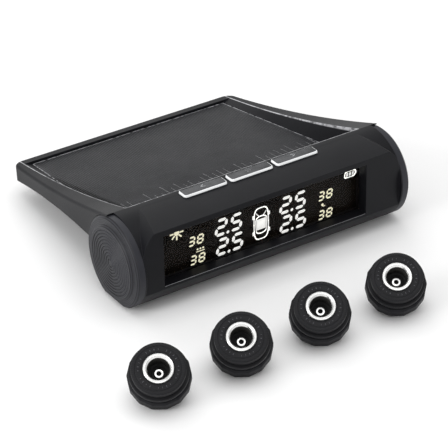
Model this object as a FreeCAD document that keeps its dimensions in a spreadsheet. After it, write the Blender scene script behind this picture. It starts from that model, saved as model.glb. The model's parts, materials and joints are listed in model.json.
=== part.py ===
import FreeCAD, Part
import math
import os
import Sketcher

# Tyre pressure monitor: a solar display unit and four valve-cap sensors.
# X is the width, the display faces -Y, +Z is up. The origin is the centre of the base pad's underside.
V = FreeCAD.Vector
doc = FreeCAD.newDocument("TyrePressureMonitor")
sheet = doc.addObject("Spreadsheet::Sheet", "Sizes")

SIZES = [
    # display unit: roller, facet and wing
    ("unit_width", 110.0),
    ("roller_radius", 16.0),
    ("flat_cut", 2.0),
    ("roller_wall", 2.0),
    ("end_cap_thickness", 3.0),
    ("facet_cut", 1.6),
    ("facet_brow", 1.4),
    ("facet_side_margin", 3.5),
    ("facet_corner_radius", 9.6),
    ("crest_back", 3.0),
    ("crest_lift", 0.4),
    ("fairing_angle", 32.0),
    ("crest_wall", 1.2),
    ("ridge_width", 0.4),
    ("wing_back", 83.3),
    ("wing_inset", 0.1),
    ("wing_taper", 8.5),
    ("wing_rear_corner", 4.0),
    ("wing_sag", 1.9),
    ("wing_end_drop", 3.3),
    ("wing_edge_depth", 5.6),
    ("wing_edge_round", 0.9),
    ("arch_front_drop", -1.2),
    ("arch_mid_drop", 2.2),
    # solar recess
    ("rim_front", 7.9),
    ("rim_rear", 2.6),
    ("slope_front", 1.6),
    ("slope_rear", 3.3),
    ("panel_ledge", 1.6),
    ("rear_rim", 4.0),
    ("panel_front_rise", 5.9),
    ("panel_step", 0.4),
    ("glass_thickness", 1.0),
    ("cell_thickness", 0.5),
    ("tray_floor", 1.2),
    # window and display stack
    ("window_shift", -3.3),
    ("window_margin", 14.3),
    ("window_sill", 1.1),
    ("window_brow", 3.3),
    ("lens_setback", 4.2),
    ("lens_thickness", 1.2),
    ("lens_overlap", 0.9),
    ("lcd_thickness", 1.6),
    ("backlight_thickness", 2.6),
    ("lcd_frame_wall", 1.0),
    ("fit_gap", 0.15),
    # boards and parts inside the roller
    ("board_thickness", 1.6),
    ("board_end_gap", 7.0),
    ("board_floor_gap", 2.0),
    ("button_board_thickness", 1.0),
    ("button_board_margin", 1.5),
    ("button_board_depth", 5.6),
    ("switch_side", 4.5),
    ("switch_rise", 2.0),
    ("battery_radius", 5.0),
    ("battery_length", 44.0),
    ("battery_back", 5.6),
    ("battery_floor_gap", 0.4),
    ("buzzer_radius", 4.5),
    ("buzzer_height", 3.5),
    ("buzzer_inset", 13.0),
    ("shield_inset", 12.0),
    ("shield_length", 16.0),
    ("shield_height", 11.0),
    ("shield_depth", 2.0),
    ("coil_radius", 1.6),
    ("coil_wire", 0.35),
    ("coil_pitch", 1.4),
    ("coil_turns", 6.0),
    ("usb_width", 7.5),
    ("usb_height", 2.9),
    ("usb_depth", 6.0),
    ("usb_wall", 0.35),
    ("usb_inset", 1.2),
    # buttons
    ("button_length", 17.0),
    ("button_depth", 4.8),
    ("button_bridge", 1.4),
    ("button_row_shift", -1.2),
    ("button_row_y", -0.6),
    ("button_proud", 0.8),
    ("button_round", 1.2),
    ("button_gap", 0.15),
    ("button_travel", 0.7),
    ("button_flange", 0.5),
    ("button_flange_thickness", 1.1),
    ("button_flange_drop", 0.65),
    # base
    ("cover_depth", 13.0),
    ("cover_thickness", 1.4),
    ("cover_lap", 2.0),
    ("flat_height", 1.0),
    ("pad_end_gap", 5.0),
    ("pad_depth", 11.0),
    ("pad_sunk", 0.4),
    ("screw_radius", 1.1),
    ("screw_head_radius", 2.0),
    ("screw_head_height", 0.8),
    ("screw_length", 4.0),
    ("post_height", 3.0),
    ("screw_inset", 4.0),
    ("post_radius", 3.0),
    ("foot_length", 50.0),
    ("foot_depth", 6.0),
    ("foot_inset", 6.0),
    # end cap discs
    ("disc_margin", 2.8),
    ("disc_proud", 0.8),
    ("spigot_length", 1.4),
    ("spigot_margin", 3.2),
    ("floor_thickness", 1.2),
    ("ring_pitch", 1.1),
    ("ring_depth", 0.25),
    # sensors
    ("sensor_radius", 9.8),
    ("sensor_rear_radius", 4.5),
    ("sensor_chamfer", 4.0),
    ("sensor_cap_height", 8.6),
    ("sensor_cap_floor", 2.6),
    ("sensor_cell_gap", 0.4),
    ("sensor_spigot_radius", 7.6),
    ("sensor_thread_gap", 0.1),
    ("sensor_spigot_length", 3.4),
    ("sensor_seal_wire", 0.4),
    ("sensor_shoulder_radius", 9.35),
    ("sensor_shoulder_height", 1.5),
    ("sensor_groove_radius", 7.9),
    ("sensor_groove_height", 0.7),
    ("sensor_head_radius", 8.5),
    ("sensor_height", 14.2),
    ("insert_flange_lip", 0.5),
    ("insert_flange_height", 0.9),
    ("insert_proud", 0.35),
    ("insert_wall", 0.87),
    ("valve_bore_radius", 3.43),
    ("valve_mouth_chamfer", 0.47),
    ("seal_drop", 0.6),
    ("depressor_radius", 1.6),
    ("depressor_hole", 0.55),
    ("depressor_drop", 0.1),
    ("sensor_board_radius", 6.6),
    ("sensor_board_thickness", 0.8),
    ("sensor_cell_radius", 6.25),
    ("sensor_cell_height", 2.5),
    ("sensor_row_x", -69.9),
    ("sensor_row_y", -52.2),
    ("sensor_pitch", 30.3),
    ("sensor_heading", 33.4),
    ("sensor_notch_width", 3.0),
    ("sensor_notch_depth", 0.9),
]
SENSOR_COUNT = 4
FACET_COUNT = 14

for row, (alias, value) in enumerate(SIZES, start=1):
    sheet.set("A%d" % row, alias)
    sheet.set("B%d" % row, str(value))
    sheet.setAlias("B%d" % row, alias)
doc.recompute()

pieces = []


def size(alias):
    """The sheet's present value of one named size."""
    return float(getattr(sheet, alias))


def formula(expression):
    return float(sheet.evalExpression(expression))


def keep(piece, label):
    piece.Label = label
    pieces.append(piece)
    return piece


def bind(piece, **expressions):
    for name, expression in expressions.items():
        piece.setExpression(name, expression)
    return piece


def setPlace(piece, x="0", y="0", z="0"):
    piece.setExpression("Placement.Base.x", x)
    piece.setExpression("Placement.Base.y", y)
    piece.setExpression("Placement.Base.z", z)
    return piece


def box(name, length, width, height, x="0", y="0", z="0"):
    """A box whose centre lies at x and y and whose underside lies at z."""
    piece = bind(doc.addObject("Part::Box", name), Length=length, Width=width, Height=height)
    return setPlace(piece, "(%s) - (%s) / 2" % (x, length), "(%s) - (%s) / 2" % (y, width), z)


def cylinder(name, radius, height, x="0", y="0", z="0", turn=None):
    piece = bind(doc.addObject("Part::Cylinder", name), Radius=radius, Height=height)
    if turn:
        piece.Placement = FreeCAD.Placement(V(0, 0, 0), FreeCAD.Rotation(*turn))
    return setPlace(piece, x, y, z)


def cut(name, base, tool):
    piece = doc.addObject("Part::Cut", name)
    piece.Base = base
    piece.Tool = tool
    return piece


def fuse(name, *shapes):
    piece = doc.addObject("Part::MultiFuse", name)
    piece.Shapes = list(shapes)
    return piece


ALONG_X = (V(0, 1, 0), 90)
ALONG_Y = (V(1, 0, 0), -90)


def outline(body, plane, points):
    """A closed sketch on one of the body's origin planes, each corner tied to a pair of expressions."""
    sketch = body.newObject("Sketcher::SketchObject", "Sketch")
    support = [item for item in body.Origin.OriginFeatures if item.Role == plane][0]
    sketch.AttachmentSupport = [(support, "")]
    sketch.MapMode = "FlatFace"
    corners = [V(formula(x), formula(y), 0) for x, y in points]
    following = corners[1:] + corners[:1]
    for first, second in zip(corners, following):
        sketch.addGeometry(Part.LineSegment(first, second), False)
    for index in range(len(corners)):
        joined = (index + 1) % len(corners)
        sketch.addConstraint(Sketcher.Constraint("Coincident", index, 2, joined, 1))
    for index, (corner, (x, y)) in enumerate(zip(corners, points)):
        across = sketch.addConstraint(Sketcher.Constraint("DistanceX", -1, 1, index, 1, corner.x))
        sketch.setExpression("Constraints[%d]" % across, x)
        along = sketch.addConstraint(Sketcher.Constraint("DistanceY", -1, 1, index, 1, corner.y))
        sketch.setExpression("Constraints[%d]" % along, y)
    return sketch


def padded(label, plane, points, length, rounded=None):
    """A plate: an outline padded evenly to both sides of its plane."""
    body = doc.addObject("PartDesign::Body", label)
    pad = body.newObject("PartDesign::Pad", "Pad")
    pad.Profile = outline(body, plane, points)
    pad.SideType = "Symmetric"
    pad.setExpression("Length", length)
    doc.recompute()
    if rounded:
        radius, picked = rounded
        fillet = body.newObject("PartDesign::Fillet", "Fillet")
        names = ["Edge%d" % (i + 1) for i, edge in enumerate(pad.Shape.Edges) if picked(edge)]
        fillet.Base = (pad, names)
        fillet.setExpression("Radius", radius)
    return keep(body, label)


def turned(label, points):
    """A ring or disc: an outline of radius and height turned round the body's Z axis."""
    body = doc.addObject("PartDesign::Body", label)
    turn = body.newObject("PartDesign::Revolution", "Revolution")
    sketch = outline(body, "XZ_Plane", points)
    turn.Profile = sketch
    turn.ReferenceAxis = (sketch, ["V_Axis"])
    turn.Angle = 360
    return keep(body, label)


def fromShape(label, shape):
    piece = doc.addObject("Part::Feature", label)
    piece.Shape = shape
    return keep(piece, label)


def prism(points, direction):
    return Part.Face(Part.makePolygon(points + points[:1])).extrude(direction)


# ---- shared levels and places, in the sheet's names ----
AXIS = "(Sizes.roller_radius - Sizes.flat_cut + Sizes.flat_height)"
FACET = "(Sizes.facet_cut - Sizes.roller_radius)"
SEAT = "sqrt(Sizes.roller_radius ^ 2 - (Sizes.roller_radius - Sizes.facet_cut) ^ 2)"
CREST = "(%s + Sizes.roller_radius + Sizes.crest_lift)" % AXIS
END = "(Sizes.unit_width / 2 - Sizes.end_cap_thickness)"
BORE = "(Sizes.roller_radius - Sizes.roller_wall)"
RECESS_FRONT = "(Sizes.crest_back + Sizes.ridge_width)"
PANEL_FRONT = "(%s + Sizes.panel_ledge)" % RECESS_FRONT
PANEL_BACK = "(Sizes.wing_back - Sizes.rear_rim)"
COVER_TOP = "(Sizes.flat_height + Sizes.cover_thickness)"
FLOOR_TOP = "(%s + Sizes.floor_thickness)" % COVER_TOP
COVER_LENGTH = "(2 * %s - 2 * Sizes.screw_inset)" % END
SCREW_X = "(%s - 2 * Sizes.screw_inset)" % END
PAD_LENGTH = "(2 * %s - 2 * Sizes.pad_end_gap)" % SCREW_X
HEAD_BOTTOM = "(Sizes.flat_height + Sizes.fit_gap)"
HEAD_TOP = "(%s + Sizes.screw_head_height)" % HEAD_BOTTOM
LENS_FRONT = "(%s + Sizes.lens_setback)" % FACET
LCD_FRONT = "(%s + Sizes.lens_thickness)" % LENS_FRONT
BACKLIGHT_FRONT = "(%s + Sizes.lcd_thickness)" % LCD_FRONT
FRAME_BACK = "(%s + Sizes.backlight_thickness + Sizes.lcd_frame_wall)" % BACKLIGHT_FRONT
BOARD_BACK = "(%s + Sizes.board_thickness)" % FRAME_BACK
WINDOW_LENGTH = "(Sizes.unit_width - 2 * Sizes.window_margin)"
WINDOW_BOTTOM = "(%s - %s + Sizes.window_sill)" % (AXIS, SEAT)
WINDOW_HEIGHT = "(%s - Sizes.window_brow - %s)" % (CREST, WINDOW_BOTTOM)
WINDOW_MIDDLE = "(%s + %s / 2)" % (WINDOW_BOTTOM, WINDOW_HEIGHT)
LENS_LENGTH = "(%s + 2 * Sizes.lens_overlap)" % WINDOW_LENGTH
LENS_HEIGHT = "(%s + 2 * Sizes.lens_overlap)" % WINDOW_HEIGHT
LENS_BOTTOM = "(%s - Sizes.lens_overlap)" % WINDOW_BOTTOM
FLANGE_TOP = "(%s + %s - Sizes.button_flange_drop)" % (AXIS, BORE)
FLANGE_BOTTOM = "(%s - Sizes.button_flange_thickness)" % FLANGE_TOP
SWITCH_TOP = "(%s - Sizes.button_travel - Sizes.button_gap)" % FLANGE_BOTTOM
BUTTON_BOARD_TOP = "(%s - Sizes.switch_rise)" % SWITCH_TOP
BUTTON_TOP = "(%s + Sizes.button_proud)" % CREST
BUTTON_PITCH = "(Sizes.button_length + Sizes.button_bridge)"
BOARD_LENGTH = "(Sizes.unit_width - 2 * Sizes.board_end_gap)"
BOARD_BOTTOM = "(%s + Sizes.board_floor_gap)" % FLOOR_TOP
BOARD_HEIGHT = "(%s - Sizes.button_board_thickness - %s)" % (BUTTON_BOARD_TOP, BOARD_BOTTOM)
BATTERY_HEIGHT = "(%s + Sizes.battery_radius + Sizes.battery_floor_gap)" % FLOOR_TOP


# ---- main housing: roller, display facet and solar wing ----
def fraction(y):
    """How far y lies along the wing, from 0 at the crest to 1 at the rear edge."""
    return (y - size("crest_back")) / (size("wing_back") - size("crest_back"))


def wingHalf(y):
    """Half width of the wing's plan, which narrows evenly from the crest to the rear edge."""
    return size("unit_width") / 2 - size("wing_inset") - fraction(y) * size("wing_taper")


def ridgeHalf(y):
    """Half width of the ridge line round the solar recess."""
    return wingHalf(y) - size("rim_front") - fraction(y) * (size("rim_rear") - size("rim_front"))


def panelHalf(y):
    """Half width of the solar panel's plane."""
    return ridgeHalf(y) - size("slope_front") - fraction(y) * (size("slope_rear") - size("slope_front"))


def panelHeight(y):
    """Height of the solar panel's plane, which falls evenly to the rear."""
    front = formula(AXIS) + size("panel_front_rise")
    back = formula(AXIS) - size("wing_end_drop") - size("panel_step")
    share = (y - formula(PANEL_FRONT)) / (formula(PANEL_BACK) - formula(PANEL_FRONT))
    return front + share * (back - front)


def ridgeHeight(y):
    """Height of the wing's upper profile, one hollow arc from the crest to the rear edge."""
    crest = V(0, size("crest_back"), formula(CREST))
    rear = V(0, size("wing_back"), formula(AXIS) - size("wing_end_drop"))
    middle = (crest + rear) / 2 - V(0, 0, size("wing_sag"))
    circle = Part.Arc(crest, middle, rear).toShape().Curve
    return circle.Center.z - math.sqrt(circle.Radius ** 2 - (y - circle.Center.y) ** 2)


def rollerSolid():
    """The roller between the end caps, cut flat at the display facet."""
    inner = formula(END)
    radius = size("roller_radius")
    roller = Part.makeCylinder(radius, 2 * inner, V(-inner, 0, formula(AXIS)), V(1, 0, 0))
    ahead = Part.makeBox(2 * facetHalf(), 2 * radius, 4 * radius)
    ahead.translate(V(-facetHalf(), formula(FACET) - 2 * radius, formula(AXIS) - 2 * radius))
    return roller.cut(ahead)


def facetHalf():
    return size("unit_width") / 2 - size("facet_side_margin")


def crestFairing():
    """The crown over the roller's full length, which carries its round up to the crest."""
    axis = formula(AXIS)
    inner = formula(END)
    crest = V(-inner, size("crest_back"), formula(CREST))
    lean = math.radians(size("fairing_angle"))
    radius = size("roller_radius")
    start = V(-inner, -radius * math.sin(lean), axis + radius * math.cos(lean))
    middle = V(-inner, (start.y + crest.y) / 2, 0)
    middle.z = axis + math.sqrt(radius ** 2 - middle.y ** 2) + size("crest_lift") / 2
    edges = [Part.Arc(start, middle, crest).toShape(), Part.makeLine(crest, V(-inner, crest.y, axis))]
    edges += [Part.makeLine(V(-inner, crest.y, axis), start)]
    return Part.Face(Part.Wire(edges)).extrude(V(2 * inner, 0, 0))


def bossSolid():
    """The flat-fronted boss round the display, its two upper corners rounded."""
    axis = formula(AXIS)
    half = facetHalf()
    facet = formula(FACET)
    crest = V(-half, size("crest_back"), formula(CREST))
    top = V(-half, facet, crest.z - size("facet_brow"))
    crown = V(-half, facet * 0.42, top.z + size("facet_brow") * 0.79)
    low = V(-half, facet, axis - formula(SEAT))
    inside = V(-half, size("crest_back"), axis)
    edges = [Part.makeLine(low, top), Part.Arc(top, crown, crest).toShape()]
    edges += [Part.makeLine(crest, inside), Part.makeLine(inside, low)]
    profile = Part.Face(Part.Wire(edges)).extrude(V(2 * half, 0, 0))
    radius = size("facet_corner_radius")
    shoulder = axis + formula(SEAT) + 0.1
    reach = 2 * size("roller_radius")
    corners = []
    for side in (-1, 1):
        corner = V(side * (half - radius), -reach, shoulder)
        corners.append(Part.makeCylinder(radius, 2 * reach, corner, V(0, 1, 0)))
    upper = Part.makeBox(2 * (half - radius), 2 * reach, radius, V(radius - half, -reach, shoulder))
    lower = Part.makeBox(2 * half, 2 * reach, shoulder, V(-half, -reach, 0))
    return profile.common(upper.fuse([lower] + corners))


def wingSolid():
    """The wing behind the roller: a ski-slope top and an arched underside, narrower at the rear."""
    axis = formula(AXIS)
    start = V(0, size("crest_back") - 2 * size("wing_edge_round"), 0)
    start.z = ridgeHeight(start.y)
    half = wingHalf(start.y)
    rear = V(0, size("wing_back"), ridgeHeight(size("wing_back")))
    middle = V(0, (start.y + rear.y) / 2, ridgeHeight((start.y + rear.y) / 2))
    rear_low = V(0, size("wing_back") - 0.4, rear.z - size("wing_edge_depth"))
    lip = V(0, rear_low.y - 2.5, rear_low.z)
    arch_start = V(0, size("roller_radius") - 0.5, axis - size("arch_front_drop"))
    arch_middle = V(0, (arch_start.y + lip.y) / 2, axis - size("arch_mid_drop"))
    under = V(0, start.y, arch_start.z)
    edges = [Part.Arc(start, middle, rear).toShape(), Part.makeLine(rear, rear_low)]
    edges.append(Part.makeLine(rear_low, lip))
    edges += [Part.Arc(lip, arch_middle, arch_start).toShape(), Part.makeLine(arch_start, under)]
    edges.append(Part.makeLine(under, start))
    profile = Part.Face(Part.Wire(edges))
    profile.translate(V(-half, 0, 0))
    solid = profile.extrude(V(2 * half, 0, 0))
    rear_half = wingHalf(rear.y)
    plan = [V(-half, start.y, 0), V(half, start.y, 0), V(rear_half, rear.y, 0), V(-rear_half, rear.y, 0)]
    trimmed = solid.common(prism(plan, V(0, 0, 2 * start.z)))
    corners = [edge for edge in trimmed.Edges if isRearCorner(edge)]
    rounded = trimmed.makeFillet(size("wing_rear_corner"), corners)
    rims = [edge for edge in rounded.Edges if isOuterRim(edge)]
    rounded = rounded.makeFillet(size("wing_edge_round"), rims)
    radius = size("roller_radius")
    corner = V(-2 * half, size("crest_back") - radius, axis + radius / 2)
    ahead = Part.makeBox(4 * half, radius, radius, corner)
    return rounded.cut(ahead)


def isRearCorner(edge):
    middle = edge.CenterOfMass
    upright = edge.BoundBox.ZLength > size("wing_edge_depth") * 0.8
    return upright and middle.y > size("wing_back") - 2 and abs(middle.x) > wingHalf(middle.y) - 1


def isOuterRim(edge):
    """True for the wing's upper side edges, its upper rear edge and the corner arcs between them."""
    on_ridge = all(abs(vertex.Z - ridgeHeight(vertex.Y)) < 0.01 for vertex in edge.Vertexes)
    return on_ridge and edge.BoundBox.YMax > size("crest_back")


def recessSolid():
    """The solar recess: a pocket for the panel and side walls that lean out to the ridge."""
    front = formula(RECESS_FRONT)
    back = formula(PANEL_BACK)
    high = formula(AXIS) + 2 * size("roller_radius")
    sections = []
    count = 6
    for index in range(count + 1):
        y = front + (back - front) * index / count
        panel = panelHalf(y)
        ridge = ridgeHalf(y)
        low = panelHeight(y)
        rim = ridgeHeight(y)
        section = [V(-panel, y, low), V(-ridge, y, rim), V(-ridge, y, high)]
        section += [V(ridge, y, high), V(ridge, y, rim), V(panel, y, low)]
        sections.append(Part.makePolygon(section + section[:1]))
    return Part.makeLoft(sections, True, True)


def panelPlate(start, thickness, gap):
    """A trapezoid plate under the panel's plane, from one depth to another, drawn in by the gap."""
    front = formula(PANEL_FRONT) + gap
    back = formula(PANEL_BACK) - gap
    front_half = panelHalf(front) - gap
    back_half = panelHalf(back) - gap
    high = panelHeight(front) - start
    low = panelHeight(back) - start
    top = [V(-front_half, front, high), V(front_half, front, high)]
    top += [V(back_half, back, low), V(-back_half, back, low)]
    return prism(top, V(0, 0, -thickness))


def cavitySolid():
    """The hollow of the roller: behind the front wall and below the solar tray."""
    axis = formula(AXIS)
    inner = formula(END)
    radius = formula(BORE)
    bore = Part.makeCylinder(radius, 2 * inner, V(-inner, 0, axis), V(1, 0, 0))
    front = formula(LCD_FRONT)
    behind = formula(RECESS_FRONT) - size("crest_wall")
    stack = size("glass_thickness") + size("cell_thickness") + size("tray_floor")
    start = formula(PANEL_FRONT)
    floor = formula(FLOOR_TOP)
    shape = [V(-inner, front, floor), V(-inner, front, axis + radius + 1)]
    shape += [V(-inner, behind, axis + radius + 1), V(-inner, behind, panelHeight(start) - stack)]
    shape += [V(-inner, radius + 1, panelHeight(radius + 1) - stack), V(-inner, radius + 1, floor)]
    return bore.common(prism(shape, V(2 * inner, 0, 0)))


def displayPocket():
    gap = size("fit_gap")
    wall = size("lcd_frame_wall")
    length = formula(LENS_LENGTH) + 2 * gap
    height = formula(LENS_HEIGHT) + 2 * gap
    left = size("window_shift") - length / 2
    bottom = formula(LENS_BOTTOM) - gap
    depth = formula(FRAME_BACK) - formula(LENS_FRONT)
    return Part.makeBox(length, depth + wall, height, V(left, formula(LENS_FRONT) - gap, bottom))


def windowOpening():
    length = formula(WINDOW_LENGTH)
    left = size("window_shift") - length / 2
    reach = size("roller_radius")
    corner = V(left, formula(LENS_FRONT) - reach, formula(WINDOW_BOTTOM))
    return Part.makeBox(length, reach, formula(WINDOW_HEIGHT), corner)


def buttonCentres():
    middle = size("button_row_shift")
    return [middle + step * formula(BUTTON_PITCH) for step in (-1, 0, 1)]


def buttonSlots():
    gap = size("button_gap")
    length = size("button_length") + 2 * gap
    depth = size("button_depth") + 2 * gap
    slots = []
    for centre in buttonCentres():
        corner = V(centre - length / 2, size("button_row_y") - depth / 2, formula(FLANGE_BOTTOM))
        slot = Part.makeBox(length, depth, size("roller_radius"), corner)
        uprights = [edge for edge in slot.Edges if edge.BoundBox.ZLength > size("roller_radius") - 1]
        slots.append(slot.makeFillet(size("button_round") + gap, uprights))
    return slots


def baseCuts():
    """The flat underside, the cover's rebate and the way through it."""
    reach = size("roller_radius")
    length = formula(COVER_LENGTH) + 2 * size("fit_gap")
    depth = size("cover_depth") + 2 * size("fit_gap")
    lap = size("cover_lap")
    width = 2 * size("unit_width")
    flat = Part.makeBox(width, 2 * reach, reach, V(-width / 2, -reach, size("flat_height") - reach))
    rebate = Part.makeBox(length, depth, formula(COVER_TOP), V(-length / 2, -depth / 2, 0))
    clear = formula(SCREW_X) - 1.5 * size("post_radius")
    opening = Part.makeBox(2 * clear, depth - 2 * lap, formula(FLOOR_TOP), V(-clear, lap - depth / 2, 0))
    return [flat, rebate, opening]


def screwPosts():
    """Two posts on the roller's floor that take the base screws."""
    posts = []
    for side in (-1, 1):
        foot = V(side * formula(SCREW_X), 0, formula(COVER_TOP))
        post = Part.makeCylinder(size("post_radius"), size("post_height"), foot)
        posts.append(post)
    return posts


def screwHoles():
    holes = []
    for side in (-1, 1):
        foot = V(side * formula(SCREW_X), 0, 0)
        holes.append(Part.makeCylinder(size("screw_radius"), formula(COVER_TOP) + size("post_height"), foot))
    return holes


def endSeats():
    """Round seats in both ends of the roller for the end caps' spigots."""
    inner = formula(END)
    depth = size("spigot_length") + size("fit_gap")
    radius = size("roller_radius") - size("spigot_margin") + size("fit_gap")
    seats = []
    for side in (-1, 1):
        seats.append(Part.makeCylinder(radius, depth, V(side * inner, 0, formula(AXIS)), V(-side, 0, 0)))
    return seats


def endRooms():
    """Room beside the roller for both end caps, so the wing's sides pass round them."""
    inner = formula(END)
    radius = size("roller_radius") + size("fit_gap")
    rooms = []
    for side in (-1, 1):
        start = V(side * inner, 0, formula(AXIS))
        rooms.append(Part.makeCylinder(radius, 2 * size("end_cap_thickness"), start, V(side, 0, 0)))
    return rooms


def mainHousing():
    wing = wingSolid().cut(endRooms())
    outer = rollerSolid().fuse([crestFairing(), bossSolid(), wing]).removeSplitter()
    outer = outer.cut([recessSolid(), panelPlate(0, size("glass_thickness") + size("cell_thickness"), 0)])
    hollow = outer.cut([cavitySolid(), displayPocket(), windowOpening()] + buttonSlots() + endSeats())
    return hollow.fuse(screwPosts()).cut(baseCuts() + screwHoles())


fromShape("main_housing", mainHousing())


# ---- end caps ----
def ringedDisc(side):
    """A turned cap: spigot, rim and a slightly raised disc with fine concentric grooves."""
    inner = formula(END)
    outer = size("unit_width") / 2
    rim = size("roller_radius")
    disc = rim - size("disc_margin")
    proud = size("disc_proud")
    spigot = rim - size("spigot_margin")
    points = [V(inner - size("spigot_length"), 0, 0), V(inner - size("spigot_length"), spigot, 0)]
    points += [V(inner, spigot, 0), V(inner, rim, 0), V(outer - 0.8, rim, 0), V(outer, rim - 0.8, 0)]
    points += [V(outer, disc, 0), V(outer + proud, disc - proud, 0)]
    pitch = size("ring_pitch")
    groove = size("ring_depth")
    radius = disc - proud - pitch
    while radius > pitch:
        points += [V(outer + proud, radius + pitch / 4, 0), V(outer + proud - groove, radius, 0)]
        points.append(V(outer + proud, radius - pitch / 4, 0))
        radius -= pitch
    points.append(V(outer + proud, 0, 0))
    solid = Part.Face(Part.makePolygon(points + points[:1])).revolve(V(0, 0, 0), V(1, 0, 0), 360)
    if side < 0:
        solid = solid.mirror(V(0, 0, 0), V(1, 0, 0))
    solid.translate(V(0, 0, formula(AXIS)))
    below = Part.makeBox(3 * outer, 4 * rim, size("flat_height") + rim, V(-1.5 * outer, -2 * rim, -rim))
    return solid.cut(below)


USB_MIDDLE_Y = "(%s + Sizes.usb_height / 2)" % BOARD_BACK


def usbOpening():
    gap = 2 * size("fit_gap")
    length = 4 * size("end_cap_thickness")
    width = size("usb_height") + 2 * gap
    height = size("usb_width") + 2 * gap
    corner = V(size("unit_width") - length, 2 * formula(USB_MIDDLE_Y) - width, 2 * formula(AXIS) - height) / 2
    return Part.makeBox(length, width, height, corner)


fromShape("left_end_cap", ringedDisc(-1))
fromShape("right_end_cap", ringedDisc(1).cut(usbOpening()))


# ---- base: cover, pad, foot and screws ----
def rectangle(length, depth, x="0", y="0"):
    low_x = "%s - %s / 2" % (x, length)
    high_x = "%s + %s / 2" % (x, length)
    low_y = "%s - %s / 2" % (y, depth)
    high_y = "%s + %s / 2" % (y, depth)
    return [(low_x, low_y), (high_x, low_y), (high_x, high_y), (low_x, high_y)]


cover_plate = box("CoverPlate", COVER_LENGTH, "Sizes.cover_depth", "Sizes.cover_thickness",
                  z="Sizes.flat_height")
pad_room_length = PAD_LENGTH + " + 2 * Sizes.fit_gap"
PAD_THICKNESS = "(Sizes.flat_height + Sizes.pad_sunk)"
cover_tools = [box("PadRoom", pad_room_length, "Sizes.pad_depth + 2 * Sizes.fit_gap", PAD_THICKNESS)]
screw_parts = []
for side in ("-", ""):
    screw_x = side + SCREW_X
    way_radius = "Sizes.screw_radius + Sizes.fit_gap"
    head_radius = "Sizes.screw_head_radius + Sizes.fit_gap"
    shank_length = "Sizes.screw_length - Sizes.screw_head_height"
    cover_tools.append(cylinder("ScrewWay", way_radius, COVER_TOP, x=screw_x))
    cover_tools.append(cylinder("HeadRoom", head_radius, HEAD_TOP, x=screw_x))
    screw_parts.append(cylinder("ScrewHead", "Sizes.screw_head_radius", "Sizes.screw_head_height",
                                x=screw_x, z=HEAD_BOTTOM))
    screw_parts.append(cylinder("ScrewShank", "Sizes.screw_radius", shank_length, x=screw_x, z=HEAD_TOP))
keep(cut("CoverCut", cover_plate, fuse("CoverTools", *cover_tools)), "base_cover")
keep(fuse("ScrewPair", *screw_parts), "base_screws")

base_pad = padded("base_pad", "XY_Plane", rectangle(PAD_LENGTH, "Sizes.pad_depth"), PAD_THICKNESS,
                  ("Sizes.pad_depth / 4", lambda edge: abs(edge.BoundBox.ZLength - formula(PAD_THICKNESS)) < 0.01))
setPlace(base_pad, z=PAD_THICKNESS + " / 2")


def rearFoot():
    """A soft strip under the wing's rear edge, cut to the arch above it."""
    centre = size("wing_back") - size("foot_inset")
    length = size("foot_length")
    depth = size("foot_depth")
    block = Part.makeBox(length, depth, formula(AXIS), V(-length / 2, centre - depth / 2, 0))
    uprights = [edge for edge in block.Edges if edge.BoundBox.ZLength > formula(AXIS) - 1]
    block = block.makeFillet(depth / 3, uprights)
    corner = V(-length, centre - depth, formula(AXIS) - size("wing_end_drop"))
    upper = Part.makeBox(2 * length, 2 * depth, 2 * formula(AXIS), corner)
    below = block.cut([wingSolid(), upper]).Solids
    return min(below, key=lambda solid: solid.BoundBox.ZMin)


fromShape("rear_foot", rearFoot())


# ---- display stack ----
def stackPlate(label, length, height, depth, front, rounded=None):
    """An upright plate of the display stack, centred on the window."""
    plate = padded(label, "XZ_Plane", rectangle(length, height), depth, rounded)
    return setPlace(plate, "Sizes.window_shift", "%s + %s / 2" % (front, depth), WINDOW_MIDDLE)


LCD_LENGTH = "(%s - 2 * Sizes.lcd_frame_wall)" % LENS_LENGTH
LCD_HEIGHT = "(%s - 2 * Sizes.lcd_frame_wall)" % LENS_HEIGHT
stackPlate("display_lens", LENS_LENGTH, LENS_HEIGHT, "Sizes.lens_thickness", LENS_FRONT)
stackPlate("lcd_panel", LCD_LENGTH, LCD_HEIGHT, "Sizes.lcd_thickness", LCD_FRONT)
stackPlate("backlight", LCD_LENGTH, LCD_HEIGHT, "Sizes.backlight_thickness", BACKLIGHT_FRONT)

FRAME_DEPTH = "(%s - %s)" % (FRAME_BACK, LCD_FRONT)
FRAME_MIDDLE = "(%s + %s) / 2" % (FRAME_BACK, LCD_FRONT)
frame_block = box("FrameBlock", LENS_LENGTH, FRAME_DEPTH, LENS_HEIGHT,
                  "Sizes.window_shift", FRAME_MIDDLE, LENS_BOTTOM)
STACK_DEPTH = "(Sizes.lcd_thickness + Sizes.backlight_thickness)"
STACK_MIDDLE = "%s + %s / 2" % (LCD_FRONT, STACK_DEPTH)
frame_room = box("FrameRoom", LCD_LENGTH, STACK_DEPTH, LCD_HEIGHT, "Sizes.window_shift", STACK_MIDDLE,
                 LENS_BOTTOM + " + Sizes.lcd_frame_wall")
keep(cut("FrameCut", frame_block, frame_room), "lcd_frame")

# ---- boards and what they carry ----
main_board = padded("main_board", "XZ_Plane", rectangle(BOARD_LENGTH, BOARD_HEIGHT), "Sizes.board_thickness")
MAIN_BOARD_Z = "%s + %s / 2" % (BOARD_BOTTOM, BOARD_HEIGHT)
setPlace(main_board, "0", FRAME_BACK + " + Sizes.board_thickness / 2", MAIN_BOARD_Z)

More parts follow.
